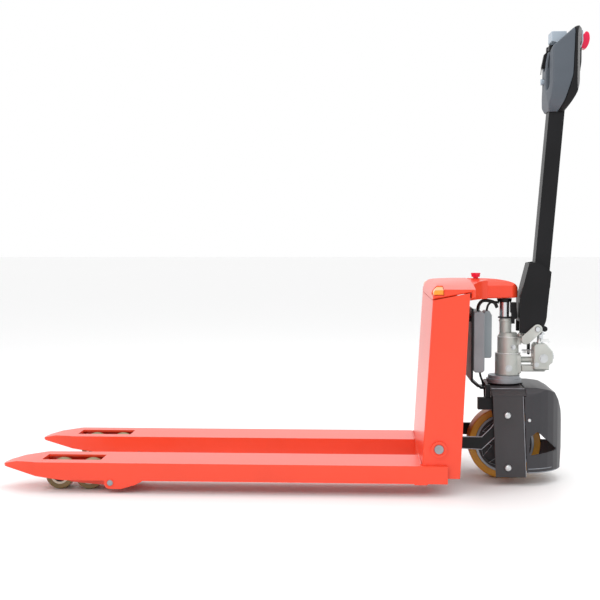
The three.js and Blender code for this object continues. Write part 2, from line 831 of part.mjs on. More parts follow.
function bearingRingUpper() {
  return join(post(steerX, 0, 51, 280, 292), post(steerX, 0, 46, 291, pumpBaseZ - gap));
}

function pumpBody() {
  const foot = post(barrelX - 1.5, 0, pumpRadius + 5, pumpBaseZ, castingLineZ);
  const barrel = post(barrelX, 0, pumpRadius, castingLineZ - 1, 415);
  const pad = block(barrelX, 325, -20, 20, 392, 413);
  const lowPad = block(barrelX, 325, -24, 24, 308, castingLineZ - 4);
  const shoulder = post(barrelX, 0, pumpRadius, 414, 426, 24);
  const neck = post(neckX, 0, 18, 425, 460);
  const collar = post(neckX, 0, 20, 459, pumpTopZ, 17);
  const bore = post(steerX, 0, ramRadius + 0.6, ramBottomZ - 8, pumpTopZ + 1);
  return cut(join(foot, barrel, pad, lowPad, shoulder, neck, collar), bore);
}

const earInner = tillerInner + tillerWall + play;
const earThick = 8;

function earBracket() {
  const seat = block(325 + gap, 340, -earInner - earThick, earInner + earThick, 396, 418);
  const ear = link({ x: 334, z: 409 }, tillerPivot, 14, earInner, earInner + earThick);
  const pinHole = rod(tillerPivot.x, tillerPivot.z, tillerPinRadius + gap, -70, 70, 20);
  return cut(join(seat, bothSides(ear)), pinHole);
}

function pumpBlock() {
  const body = sidePlate(
    [
      [362, 318],
      [405, 318],
      [405, 332],
      [415, 340],
      [415, 372],
      [398, 392],
      [391, 396],
      [366, 396],
      [359, 388],
      [359, 322],
    ],
    -28,
    28,
    3,
  );
  const foot = block(325 + gap, 394, -22, 22, 313, 330);
  const valve = bar(325 + gap, 362, 0, 346, 9, 16);
  const bore = post(381, 0, plungerRadius + 0.6, 340, 400, plungerRadius + 0.6, 20);
  return cut(join(body, foot, valve), bore);
}

function fillerPlug() {
  return bar(415 + gap, 421, 0, 356, 9, 6);
}

function tillerPin() {
  const reach = earInner + earThick + 4;
  return rod(tillerPivot.x, tillerPivot.z, tillerPinRadius, -reach, reach, 20);
}

function tillerStop() {
  const lobe = link({ x: 306, z: 473 }, { x: 303, z: 500 }, 8, -12, 12);
  const arm = block(294, 311, -12, 12, 484, 514);
  const strap = cut(block(290, 306, -12, 12, 452, 474), post(neckX, 0, 20 + gap, 440, 480));
  return join(lobe, arm, strap);
}

function releaseLever() {
  return join(link({ x: 350, z: 364 }, { x: 350, z: 390 }, 4.5, 12, 17), block(347, 353, 3, 13, 384, 390));
}

function plunger() {
  const pad = post(381, 0, 15, 420, 427.4, 13, 20);
  return join(post(381, 0, plungerRadius, 370, 421, plungerRadius, 20), pad);
}

// ---- tiller ----
function tillerBase() {
  const y0 = tillerInner;
  const y1 = tillerInner + tillerWall;
  const outline = [
    [316, 428],
    [356, 423],
    [378, 423],
    [392, 463],
    [406, 604],
    [366, 633],
    [342, 629],
    [316, 524],
  ];
  const side = sidePlate(outline, y0, y1);
  const webOutline = [[316, 460], [321, 460], [321, 523], [347, 629], [342, 629], [316, 524]];
  const web = sidePlate(webOutline, -y0 - 1, y0 + 1);
  const backWeb = sidePlate([[389, 470], [394, 470], [400, 546], [395, 546]], -y0 - 1, y0 + 1);
  const pinHole = rod(tillerPivot.x, tillerPivot.z, tillerPinRadius + play, -60, 60, 20);
  const cam = rod(389, 439, 8, -y0 - 1, y0 + 1, 20);
  return cut(join(bothSides(side), web, backWeb, cam), pinHole);
}

const upright = (solid) =>
  moved(
    moved(solid, -tillerPivot.x, 0, -tillerPivot.z).rotate([0, tillerLean, 0]),
    tillerPivot.x,
    0,
    tillerPivot.z,
  );

function tillerTube() {
  const x = tillerPivot.x;
  const half = tubeDepth / 2;
  const width = tubeWidth / 2;
  const wall = tubeWall;
  const outer = block(x - half, x + half, -width, width, 555, tubeTopZ);
  const inner = block(x - half + wall, x + half - wall, -width + wall, width - wall, 550, tubeTopZ + 5);
  return upright(cut(outer, inner));
}

// The sleeve that centres the tube between the walls of the tiller base.
function tubeSleeve() {
  const x = tillerPivot.x;
  const reach = tubeDepth / 2 + gap;
  const y = tubeWidth / 2 + gap;
  const outer = block(x - reach - 4, x + reach + 4, -tillerInner + gap, tillerInner - gap, 560, 604);
  return upright(cut(outer, block(x - reach, x + reach, -y, y, 550, 610)));
}

// ---- tiller head ----
function headOutline() {
  const shape = new THREE.Shape();
  shape.moveTo(392, headBaseZ);
  shape.bezierCurveTo(380, 1100, 380, 1185, 390, 1227);
  shape.lineTo(396, 1241);
  shape.lineTo(450, 1289);
  shape.quadraticCurveTo(459, 1297, 470, 1298);
  shape.lineTo(484, 1296);
  shape.bezierCurveTo(492, 1262, 488, 1200, 476, 1150);
  shape.bezierCurveTo(470, 1110, 452, 1086, 436, headBaseZ);
  return shape;
}

function frontHalf() {
  return sidePlate(
    [
      [350, 1050],
      [412, 1050],
      [432, 1090],
      [452, 1160],
      [457, 1290],
      [350, 1320],
    ],
    -120,
    120,
  );
}

// Plan of the head: deepest in the middle, thinner towards both sides.
function headPlan() {
  const shape = new THREE.Shape();
  const side = headHalfWidth + 1;
  shape.moveTo(462, -side);
  shape.quadraticCurveTo(514, 0, 462, side);
  shape.lineTo(396, side);
  shape.quadraticCurveTo(368, 0, 396, -side);
  return shape;
}

// Rear view of the whole head: a rounded loop on each side of the middle.
function headRearView() {
  const half = headHalfWidth;
  const shape = new THREE.Shape();
  shape.moveTo(-34, headBaseZ - 2);
  shape.lineTo(34, headBaseZ - 2);
  shape.quadraticCurveTo(half - 6, 1084, half, 1140);
  shape.lineTo(half, 1262);
  shape.quadraticCurveTo(half, 1306, half - 40, 1306);
  shape.lineTo(-half + 40, 1306);
  shape.quadraticCurveTo(-half, 1306, -half, 1262);
  shape.lineTo(-half, 1140);
  shape.quadraticCurveTo(-half + 6, 1084, -34, headBaseZ - 2);
  return shape;
}

function fingerGap() {
  const shape = new THREE.Shape();
  shape.moveTo(34, 1124);
  shape.quadraticCurveTo(64, 1116, 66, 1150);
  shape.lineTo(66, 1236);
  shape.quadraticCurveTo(66, 1256, 50, 1256);
  shape.lineTo(40, 1256);
  shape.quadraticCurveTo(34, 1256, 34, 1246);
  return endPlate(shape, 300, 600);
}

function headCore() {
  const whole = sidePlate(headOutline(), -120, 120)
    .intersect(endPlate(headRearView(), 340, 560))
    .intersect(floorPlate(headPlan(), headBaseZ - 10, 1320));
  const holes = bothSides(fingerGap());
  const tubeRoom = upright(
    block(
      tillerPivot.x - tubeDepth / 2 - gap,
      tillerPivot.x + tubeDepth / 2 + gap,
      -tubeWidth / 2 - gap,
      tubeWidth / 2 + gap,
      1000,
      tubeTopZ + 3,
    ),
  );
  return cut(whole, holes, tubeRoom);
}

const buttonRoom = () => block(462, 520, -15, 15, 1236, 1298);
const leverRoom = () => block(370, 398, -11, 11, 1180, 1236);
const hornRoom = () => bar(370, 401, 0, 1150, 9 + gap, 16);
const throttleAxis = { x: 400, z: 1243 };
const displayRoom = () => block(380, 446, -34, 34, 1232, 1320);

function headFront() {
  const room = [leverRoom(), hornRoom(), displayRoom()];
  const pocket = block(404, 470, -26, 26, 1108, 1226);
  return cut(headCore().intersect(frontHalf()), pocket, ...room);
}

function headBack() {
  const front = frontHalf().translate([gap, 0, 0]);
  const pocket = block(440, 470, -26, 26, 1140, 1228);
  return cut(headCore(), join(frontHalf(), front), pocket, buttonRoom(), displayRoom());
}

function displayPanel() {
  const body = sidePlate(
    [
      [416, 1234],
      [444, 1234],
      [444, 1280],
      [441, 1290],
      [400, 1290],
      [400, 1262],
      [416, 1258],
    ],
    -32,
    32,
    1,
  );
  return body;
}

function throttle() {
  const { x, z } = throttleAxis;
  const shaft = rod(x, z, 6, -30, 30, 16);
  const paddle = sidePlate([[x - 7, z - 8], [x + 4, z - 8], [x + 4, z + 8], [x - 6, z + 9]], 12, 30);
  return join(shaft, bothSides(paddle));
}

function loweringLever() {
  return link({ x: 388, z: 1226 }, { x: 381, z: 1192 }, 5, -9, 9);
}

function hornButton() {
  return join(bar(379, 396, 0, 1150, 7, 16), bar(375, 379.5, 0, 1150, 9, 16));
}

function bellyButton() {
  const shape = new THREE.Shape();
  shape.moveTo(470, 1246);
  shape.lineTo(499, 1242);
  shape.quadraticCurveTo(510, 1254, buttonBack, 1272);
  shape.quadraticCurveTo(buttonBack, 1292, 500, 1292);
  shape.lineTo(494, 1284);
  shape.lineTo(470, 1280);
  return sidePlate(shape, -14, 14, 1);
}

// ---- assembly ----
for (const [side, place] of [['left', (solid) => solid], ['right', mirrored]]) {
  piece(`fork_${side}`, place(fork()), red);
  piece(`hood_lens_${side}`, place(lens()), orangeLens);
  piece(`load_arm_pin_${side}`, place(armPin()), steel);
  piece(`carriage_pin_${side}`, place(carriagePivot()), steel);
  piece(`push_rod_${side}`, place(pushRod()), black);
  piece(`load_arm_${side}`, place(loadArm()), black);
  piece(`bogie_${side}`, place(bogie()), black);
  piece(`load_roller_front_${side}`, place(rollerTyreRing(bogieX - rollerPitch / 2)), rollerTyre);
  piece(`load_roller_rear_${side}`, place(rollerTyreRing(bogieX + rollerPitch / 2)), rollerTyre);
}
piece('mast_shell', mastShell(), red);
piece('heel_crossmember', heelCrossmember(), red);
piece('battery_tray', batteryTray(), red);
piece('battery_pack', batteryPack(), rubber);
piece('hood', hood(), red);
piece('nose_beam', noseBeam(), red);
piece('stop_button', stopButton(), signalRed);
piece('controller_bracket', bracket(), black);
piece('motor_controller', boxOne(), greyBox);
piece('charger_box', boxTwo(), greyBox);
piece('controller_harness', harness(), rubber);
piece('lift_ram', ram(), steel);
piece('tube_sleeve', tubeSleeve(), black);
piece('ram_seat', ramSeat(), black);
piece('rocker_shaft', shaftPin(), steel);
piece('rocker_frame', rockerFrame(), black);
piece('carriage_frame', carriageFrame(), darkPlate);
piece('drive_cover', driveCover(), darkPlastic);
piece('bearing_ring_lower', bearingRingLower(), black);
piece('sensor_block', sensorBlock(), black);
piece('wheel_fork', wheelFork(), darkPlate);
piece('wheel_axle', wheelAxle(), steel);
piece('drive_tyre', driveTyre(), amber);
piece('drive_hub', driveHub(), darkPlate);
piece('bearing_ring_upper', bearingRingUpper(), steel);
piece('pump_body', pumpBody(), castSilver);
piece('tiller_ears', earBracket(), castSilver);
piece('pump_block', pumpBlock(), castSilver);
piece('filler_plug', fillerPlug(), steel);
piece('pump_plunger', plunger(), steel);
piece('release_lever', releaseLever(), black);
piece('tiller_stop', tillerStop(), black);
piece('tiller_pin', tillerPin(), steel);
piece('tiller_base', tillerBase(), black);
piece('tiller_tube', tillerTube(), black);
piece('head_front_shell', headFront(), headGrey);
piece('head_back_shell', headBack(), rubber);
piece('display_panel', displayPanel(), lightGrey);
piece('throttle_paddle', throttle(), rubber);
piece('lowering_lever', loweringLever(), rubber);
piece('horn_button', hornButton(), lightGrey);
piece('belly_button', bellyButton(), crimson);

jack.position.x = (forkLength - buttonBack) / 2;

export default jack;
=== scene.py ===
# Looks of the pallet jack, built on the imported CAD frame. Metres, +X towards the tiller, +Z up.
import json
import math

import bmesh
import bpy
from mathutils import Matrix, Vector


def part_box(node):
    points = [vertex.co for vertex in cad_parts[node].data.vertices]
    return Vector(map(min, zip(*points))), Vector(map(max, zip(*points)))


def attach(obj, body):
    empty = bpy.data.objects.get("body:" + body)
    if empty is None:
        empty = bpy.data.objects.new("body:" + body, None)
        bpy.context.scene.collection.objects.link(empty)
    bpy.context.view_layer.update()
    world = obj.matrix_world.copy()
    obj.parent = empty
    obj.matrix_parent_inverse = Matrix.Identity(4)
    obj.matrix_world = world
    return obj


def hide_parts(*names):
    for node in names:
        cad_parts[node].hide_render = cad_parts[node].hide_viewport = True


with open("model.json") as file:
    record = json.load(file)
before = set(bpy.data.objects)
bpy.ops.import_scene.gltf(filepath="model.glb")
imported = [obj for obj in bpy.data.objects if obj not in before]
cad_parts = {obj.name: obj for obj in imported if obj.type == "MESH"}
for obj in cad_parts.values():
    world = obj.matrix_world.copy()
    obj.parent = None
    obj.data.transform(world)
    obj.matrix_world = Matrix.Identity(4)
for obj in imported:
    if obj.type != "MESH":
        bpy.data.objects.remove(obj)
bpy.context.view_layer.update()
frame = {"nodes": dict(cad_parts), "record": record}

NODES = frame["nodes"]
MM = 0.001


# ---- materials ----
def node_tree(name):
    material = bpy.data.materials.new(name)
    material.use_nodes = True
    nodes = material.node_tree.nodes
    links = material.node_tree.links
    return material, nodes, links, nodes["Principled BSDF"]


def add_noise(nodes, links, scale, detail=4.0, stretch=(1, 1, 1)):
    coords = nodes.new("ShaderNodeTexCoord")
    mapping = nodes.new("ShaderNodeMapping")
    mapping.inputs["Scale"].default_value = stretch
    noise = nodes.new("ShaderNodeTexNoise")
    noise.inputs["Scale"].default_value = scale
    noise.inputs["Detail"].default_value = detail
    links.new(coords.outputs["Object"], mapping.inputs["Vector"])
    links.new(mapping.outputs["Vector"], noise.inputs["Vector"])
    return noise.outputs["Fac"]


def ramp(nodes, links, source, stops):
    """A colour ramp over source, with (position, colour) stops."""
    node = nodes.new("ShaderNodeValToRGB")
    elements = node.color_ramp.elements
    for i, (place, colour) in enumerate(stops):
        element = elements[i] if i < 2 else elements.new(place)
        element.position = place
        element.color = (*colour, 1.0)
    links.new(source, node.inputs["Fac"])
    return node.outputs["Color"]


def shade(colour, factor):
    return tuple(min(1.0, c * factor) for c in colour)


def add_bump(nodes, links, shader, heights, strength, distance):
    bump = nodes.new("ShaderNodeBump")
    bump.inputs["Strength"].default_value = strength
    bump.inputs["Distance"].default_value = distance
    links.new(heights, bump.inputs["Height"])
    links.new(bump.outputs["Normal"], shader.inputs["Normal"])


def roughness_band(nodes, links, shader, source, low, high):
    span = nodes.new("ShaderNodeMapRange")
    span.inputs["To Min"].default_value = low
    span.inputs["To Max"].default_value = high
    links.new(source, span.inputs["Value"])
    links.new(span.outputs["Result"], shader.inputs["Roughness"])


def surface(
    name, colour, rough, metal=0.0, vary=0.12, patch=9.0, grain=900.0, depth=0.00004,
    stretch=(1, 1, 1), gloss=0.35
):
    """A base colour that drifts over broad patches, with a fine grain in its bump and roughness.

    rough is (lowest, highest) roughness, vary the share that the colour drifts by, patch and grain the
    noise scales of the drift and of the grain, and depth the height of the grain in metres.
    """
    material, nodes, links, shader = node_tree(name)
    patches = add_noise(nodes, links, patch)
    fine = add_noise(nodes, links, grain, 2.0, stretch)
    stops = [(0.3, shade(colour, 1 - vary)), (0.7, shade(colour, 1 + vary))]
    links.new(ramp(nodes, links, patches, stops), shader.inputs["Base Color"])
    roughness_band(nodes, links, shader, fine, rough[0], rough[1])
    add_bump(nodes, links, shader, fine, 0.5, depth)
    shader.inputs["Metallic"].default_value = metal
    shader.inputs["Specular IOR Level"].default_value = gloss
    return material


def gloss_paint(name, colour, rough=(0.26, 0.36)):
    """Powder-coat paint: a slight orange peel, and a clear coat for the highlights."""
    material = surface(name, colour, rough, vary=0.05, patch=4.0, grain=420.0, depth=0.00005)
    shader = material.node_tree.nodes["Principled BSDF"]
    shader.inputs["Coat Weight"].default_value = 0.22
    shader.inputs["Coat Roughness"].default_value = 0.12
    return material


RED = gloss_paint("red_powder_coat", (0.83, 0.06, 0.022))
CAST = surface("silver_casting_paint", (0.5, 0.52, 0.49), (0.38, 0.6), 0.55, 0.14, 14, 520, 0.00025)
STEEL = surface("bright_steel", (0.66, 0.68, 0.7), (0.18, 0.34), 1.0, 0.08, 20, 700, 0.00002, (1, 1, 12))
GALVANISED = surface("galvanised_ring", (0.36, 0.38, 0.4), (0.42, 0.6), 0.6, 0.2, 18, 600, 0.00008)
ZINC = surface("zinc_bolt", (0.6, 0.62, 0.63), (0.3, 0.45), 0.85, 0.08, 60, 900)
BLACK = surface(
    "satin_black_paint", (0.006, 0.006, 0.007), (0.32, 0.48), 0.0, 0.3, 8, 500, 0.00006, gloss=0.22
)
# light grey for thin beads along edges, rims and ribs: painted highlights where those edges catch the
# light
EDGE_HIGHLIGHT = surface("painted_edge_highlight", (0.32, 0.34, 0.37), (0.3, 0.45), 0.5, 0.2, 30, 700)
PLATE = surface("grey_plate_paint", (0.046, 0.043, 0.046), (0.38, 0.55), 0.1, 0.1, 10, 650, 0.00007)
COVER = surface("grey_cover_plastic", (0.038, 0.037, 0.042), (0.34, 0.5), 0.0, 0.1, 8, 1100, 0.00006)
BOX_GREY = surface("grey_aluminium_box", (0.27, 0.3, 0.32), (0.36, 0.5), 0.35, 0.08, 12, 900)
AMBER = surface("amber_polyurethane", (0.6, 0.28, 0.03), (0.3, 0.45), 0.0, 0.14, 16, 500, 0.00008)
ROLLER = surface("roller_polyurethane", (0.23, 0.17, 0.07), (0.35, 0.5), 0.0, 0.25, 26, 500, 0.00008)
HEAD = surface("blue_grey_plastic", (0.085, 0.1, 0.12), (0.42, 0.55), 0.0, 0.06, 8, 1500, 0.00006)
HEAD_LIGHT = surface("light_grey_plastic", (0.42, 0.49, 0.56), (0.4, 0.52), 0.0, 0.05, 8, 1500, 0.00004)
SOFT_BLACK = surface(
    "black_plastic", (0.006, 0.006, 0.007), (0.4, 0.55), 0.0, 0.2, 10, 1500, 0.00006, gloss=0.22
)
CABLE = surface("cable_sheath", (0.01, 0.01, 0.011), (0.45, 0.6), 0.0, 0.2, 30, 900)
CRIMSON = surface("crimson_button", (0.8, 0.012, 0.07), (0.2, 0.3), 0.0, 0.04, 20, 900, 0.00002)
STOP_RED = surface("stop_button_red", (0.75, 0.012, 0.05), (0.2, 0.3), 0.0, 0.04, 20, 900, 0.00002)
CREAM = surface("cream_core", (0.72, 0.68, 0.55), (0.4, 0.55), 0.0, 0.1, 20, 700)
CAST_BRIGHT = surface("machined_casting", (0.75, 0.77, 0.76), (0.3, 0.45), 0.6, 0.08, 14, 600, 0.0001)
ORANGE = surface("orange_lens", (1.0, 0.33, 0.04), (0.1, 0.18), 0.0, 0.05, 40, 300, 0.00004)
RUBBER = surface("seal_rubber", (0.02, 0.02, 0.022), (0.5, 0.65), 0.0, 0.2, 20, 700)

SLOT_MATERIALS = {
    "frame_paint": RED,
    "cast_silver": CAST,
    "bright_steel": STEEL,
    "black_steel": BLACK,
    "drive_plate": PLATE,
    "cover_plastic": COVER,
    "box_grey": BOX_GREY,
    "drive_tread": AMBER,
    "roller_tread": ROLLER,
    "head_grey": HEAD,
    "head_light_grey": HEAD_LIGHT,
    "belly_red": CRIMSON,
    "stop_red": STOP_RED,
    "lens_orange": ORANGE,
    "black_plastic": SOFT_BLACK,
    "cable_black": CABLE,
}

# nodes that look different from the rest of their slot
NODE_MATERIALS = {
    "bearing_ring_upper": GALVANISED,
    "rocker_shaft": GALVANISED,
    "load_arm_pin_left": GALVANISED,
    "load_arm_pin_right": GALVANISED,
}


# ---- carried-over CAD nodes: rounded edges and smooth turned faces ----
DEFAULT_ROUND = 0.6  # mm
EDGE_ROUND = {
    "fork_left": 1.6, "fork_right": 1.6, "mast_shell": 1.6, "hood": 3.0, "nose_beam": 3.5,
    "pump_body": 1.8, "pump_block": 2.0, "tiller_ears": 1.6, "tiller_base": 1.0, "tiller_tube": 1.0,
    "motor_controller": 1.5, "charger_box": 2.0, "carriage_frame": 1.0, "display_panel": 2.0,
    "belly_button": 1.5, "rocker_frame": 0.8,
}


def smooth_and_weld(obj):
    for polygon in obj.data.polygons:
        polygon.use_smooth = True
    weld = obj.modifiers.new("weld", "WELD")
    weld.merge_threshold = 1e-5


def add_bevel(obj, width, segments, sharper_than):
    """Rounds the edges that turn by more than sharper_than degrees, and evens out the shading."""
    bevel = obj.modifiers.new("bevel", "BEVEL")
    bevel.width = width
    bevel.segments = segments
    bevel.limit_method = "ANGLE"
    bevel.angle_limit = math.radians(sharper_than)
    obj.modifiers.new("weighted", "WEIGHTED_NORMAL")


def round_edges(obj, width):
    smooth_and_weld(obj)
    flat = obj.modifiers.new("flat_faces", "DECIMATE")
    flat.decimate_type = "DISSOLVE"
    flat.angle_limit = math.radians(0.6)
    add_bevel(obj, width * MM, 2, 32)


def dress_nodes():
    slots = {part["node"]: part["material_slot"] for part in frame["record"]["subparts"]}
    for name, obj in NODES.items():
        obj.data.materials.clear()
        obj.data.materials.append(SLOT_MATERIALS[slots[name]])
        round_edges(obj, EDGE_ROUND.get(name, DEFAULT_ROUND))
    for name, material in NODE_MATERIALS.items():
        NODES[name].data.materials[0] = material


# ---- piece helpers ----
# The CAD measures from X = 0, a fork's length behind the tips and 24 mm in front of the mast.
FORK_LENGTH = 1.150  # metres
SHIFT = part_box("fork_left")[0].x + FORK_LENGTH  # where that X = 0 lies in the frame
SIDES = (("left", 1), ("right", -1))


def row(x, y, z):
    """A place in mm, as the CAD measures it, turned into the frame's own metres."""
    return Vector((x * MM + SHIFT, y * MM, z * MM))


def adopt(obj, material, body, slot, *nodes):
    obj.data.materials.append(material)
    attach(obj, body)
    if nodes:
        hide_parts(*nodes)
    return obj


def mesh_object(name, vertices, faces):
    mesh = bpy.data.meshes.new(name)
    mesh.from_pydata(vertices, [], faces)
    shape = bmesh.new()
    shape.from_mesh(mesh)
    bmesh.ops.recalc_face_normals(shape, faces=shape.faces)
    shape.to_mesh(mesh)
    shape.free()
    for polygon in mesh.polygons:
        polygon.use_smooth = True
    obj = bpy.data.objects.new(name, mesh)
    bpy.context.scene.collection.objects.link(obj)
    return obj


FINE_EDGE = 0.0004  # metres, the rounding of small turned and hexagonal pieces


def mirrored(half):
    """A closed profile that is the same on both sides, from its (radius, along) points on one side."""
    return [(radius, -along) for radius, along in half] + list(reversed(half))


def turned(name, profile, centre, axis="Y", steps=96):
    """A ring or disc turned about Y or Z through centre; profile is closed, as (radius, along) in mm."""
    vertices = []
    for i in range(steps):
        turn = 2 * math.pi * i / steps
        for radius, along in profile:
            u, v = radius * math.cos(turn), radius * math.sin(turn)
            offset = (u, along, v) if axis == "Y" else (u, v, along)
            vertices.append(centre + Vector(offset) * MM)
    count = len(profile)
    faces = []
    for i in range(steps):
        j = (i + 1) % steps
        for k in range(count):
            m = (k + 1) % count
            faces.append((i * count + k, i * count + m, j * count + m, j * count + k))
    obj = mesh_object(name, vertices, faces)
    weld = obj.modifiers.new("weld", "WELD")
    weld.merge_threshold = 1e-6
    add_bevel(obj, FINE_EDGE, 2, 28)
    return obj


def prism(name, outline, low, high, round_mm):
    """An upright plate: its outline as (x, z) in mm, thick from Y = low to Y = high."""
    count = len(outline)
    vertices = [row(x, y, z) for y in (low, high) for x, z in outline]
    faces = [tuple(range(count)), tuple(range(2 * count - 1, count - 1, -1))]
    faces += [(i, (i + 1) % count, (i + 1) % count + count, i + count) for i in range(count)]
    obj = mesh_object(name, vertices, faces)
    add_bevel(obj, round_mm * MM, 3, 30)
    return obj


def round_curve(name, kind, points, radius, resolution):
    """A solid round rod or cable along points in mm; returns its object and its spline."""
    data = bpy.data.curves.new(name, "CURVE")
    data.dimensions = "3D"
    data.bevel_depth = radius * MM
    data.bevel_resolution = resolution
    data.use_fill_caps = True
    spline = data.splines.new(kind)
    spline.points.add(len(points) - 1)
    for point, place in zip(spline.points, points):
        point.co = (*row(*place), 1.0)
    obj = bpy.data.objects.new(name, data)
    bpy.context.scene.collection.objects.link(obj)
    return obj, spline


def hose(name, points, radius, body):
    """A cable clipped at both ends, on a smooth curve along points in mm."""
    obj, spline = round_curve(name, "NURBS", points, radius, 5)
    spline.use_endpoint_u = True
    spline.order_u = 4
    return adopt(obj, CABLE, body, "cable_black")


def strip(name, points, radius, material, body, slot, closed=False):
    """A thin round bead along points in mm: a rolled edge, a rib, a weld, or a painted highlight line
    along an edge.
    """
    obj, spline = round_curve(name, "POLY", points, radius, 2)
    spline.use_cyclic_u = closed
    return adopt(obj, material, body, slot)


def hex_bolt(name, centre, direction, across, height, body):
    """A hexagon bolt head with a washer, its seat at centre, in mm, standing out along direction."""
    corner = across / math.sqrt(3)
    axis = Vector(direction).normalized()
    turn = axis.to_track_quat("Z", "Y").to_matrix()
    shape = bmesh.new()
    washer = (28, corner * 1.25, 0, height * 0.22)
    hexagon = (6, corner, height * 0.2, height)
    for sides, radius, low, high in (washer, hexagon):
        made = bmesh.ops.create_cone(
            shape, cap_ends=True, segments=sides,
            radius1=radius * MM, radius2=radius * MM, depth=(high - low) * MM
        )
        bmesh.ops.translate(shape, verts=made["verts"], vec=(0, 0, (low + high) / 2 * MM))
    bmesh.ops.bevel(shape, geom=shape.edges[:], offset=FINE_EDGE, segments=2, affect="EDGES")
    mesh = bpy.data.meshes.new(name)
    shape.to_mesh(mesh)
    shape.free()
    mesh.transform(Matrix.Translation(row(*centre)) @ turn.to_4x4())
    obj = bpy.data.objects.new(name, mesh)
    bpy.context.scene.collection.objects.link(obj)
    return adopt(obj, ZINC, body, "bright_steel")


def dome_bolt(name, x, z, side, seat, body, radius):
    """A low round bolt head on a side face at |y| = seat mm."""
    shape = [(0, 0), (1, 0), (1, 0.3), (0.85, 0.68), (0.5, 0.86), (0, 0.92)]  # in radii
    pinhole = 0.01  # the profile stays just off the axis
    profile = [(max(pinhole, radius * u), side * (seat + radius * v)) for u, v in shape]
    return adopt(turned(name, profile, row(x, 0, z), steps=40), ZINC, body, "bright_steel")


def cast_skin(obj, voxel, smoothing):
    """Rounds a casting or moulding all over: a fine remesh, then smoothing."""
    for name in [m.name for m in obj.modifiers]:
        obj.modifiers.remove(obj.modifiers[name])
    smooth_and_weld(obj)
    remesh = obj.modifiers.new("skin", "REMESH")
    remesh.mode = "VOXEL"
    remesh.voxel_size = voxel * MM
    remesh.use_smooth_shade = True
    smooth = obj.modifiers.new("soften", "SMOOTH")
    smooth.factor = 0.5
    smooth.iterations = smoothing


# ---- drive wheel, rollers and their details ----
WHEEL_X, WHEEL_Z = 277, 105
WHEEL_FACE = 35  # |y| of the drive wheel's two faces
ROLLER_XS = (("front", -985.5), ("rear", -901.5))
ROLLER_Y, ROLLER_Z = 200, 40


def drive_wheel():
    centre = row(WHEEL_X, 0, WHEEL_Z)
    body = "drive_wheel"
    tread = mirrored([(85.2, 34), (99, 35), (103, 33.5), (105, 29)])
    adopt(turned("tyre_tread", tread, centre, steps=128), AMBER, body, "drive_tread", "drive_tyre")
    rib_count, rib_turn, rib_spread = 6, 12, 20  # degrees
    rib_foot, rib_end = 38, 73  # radii of a rib's point and of its wide end
    for side, s in SIDES:
        face = s * WHEEL_FACE
        # the rim ring and the rib outlines are light grey: painted highlights on the hub's edges
        ring = [(78, face), (84.6, face), (84.6, s * 36.4), (78, s * 36.4)]
        adopt(turned(f"rim_ring_{side}", ring, centre, steps=96), EDGE_HIGHLIGHT, body, "drive_plate")
        cap = [(15, face), (30, face), (29, s * 37.5), (15, s * 37.5)]
        adopt(turned(f"hub_cap_{side}", cap, centre, steps=64), PLATE, body, "drive_plate")
        for k in range(rib_count):
            points = []
            for radius, spread in ((rib_foot, 0), (rib_end, rib_spread), (rib_end, -rib_spread)):
                turn = math.radians(360 / rib_count * k + rib_turn + spread)
                x, z = WHEEL_X + radius * math.cos(turn), WHEEL_Z + radius * math.sin(turn)
                points.append((x, s * 35.6, z))
            strip(f"hub_rib_{side}_{k}", points, 1.5, EDGE_HIGHLIGHT, body, "drive_plate", True)


def load_rollers():
    tread = mirrored([(26, 29.5), (36.5, 30), (39, 28.5), (40, 25)])
    core = mirrored([(20, 28.5), (26, 29)])
    bearing = mirrored([(9, 27), (20, 27)])
    for end, x in ROLLER_XS:
        for side, s in SIDES:
            body = f"load_roller_{end}_{side}"
            centre = row(x, s * ROLLER_Y, ROLLER_Z)
            adopt(turned(f"{body}_tread", tread, centre, steps=72), ROLLER, body, "roller_tread", body)
            adopt(turned(f"{body}_ring", core, centre, steps=48), CREAM, body, "roller_tread")
            adopt(turned(f"{body}_bearing", bearing, centre, steps=40), BLACK, body, "black_steel")


# ---- carriage ----
CARRIAGE_SEAT = 130  # |y| that the carriage's bolt heads sit at
ARM_Y = 119  # |y| of the beads along the rocker's arms
ARM_TOP = [(66, 148), (150, 138), (202, 138), (229, 165), (236, 176)]  # (x, z) of each bead
ARM_LOW = [(66, 109), (202, 102), (238, 136), (256, 155)]


def carriage_details():
    body = "drive_carriage"
    for side, s in SIDES:
        face = s * (CARRIAGE_SEAT + 0.2)
        dome_bolt(f"pivot_dome_{side}", 272.6, 202, s, CARRIAGE_SEAT, body, 9.5)
        dome_bolt(f"plate_dome_{side}", 275.7, 52, s, CARRIAGE_SEAT, body, 9.5)
        dome_bolt(f"cover_screw_{side}", 334, 188, s, CARRIAGE_SEAT + 0.5, body, 5)
        # the light grey beads on the plate's back edge, its lip and the deck's fold are painted
        # highlights along those edges
        edge = [(316, face, 256), (326.5, face, 26)]
        strip(f"plate_edge_{side}", edge, 1.0, EDGE_HIGHLIGHT, body, "drive_plate")
        lip = [(231, face, 259), (316, face, 259)]
        strip(f"deck_lip_{side}", lip, 1.0, EDGE_HIGHLIGHT, body, "drive_plate")
        fold = [(230, s * 106, 274), (323, s * 106, 274)]
        strip(f"deck_fold_{side}", fold, 0.9, EDGE_HIGHLIGHT, body, "drive_plate")
        # the light grey beads along the arms are painted highlights on their flange edges
        for name, line in (("top", ARM_TOP), ("low", ARM_LOW)):
            points = [(x, s * ARM_Y, z) for x, z in line]
            strip(f"arm_flange_{name}_{side}", points, 1.4, EDGE_HIGHLIGHT, "rocker", "black_steel")
    cover_rims(body)


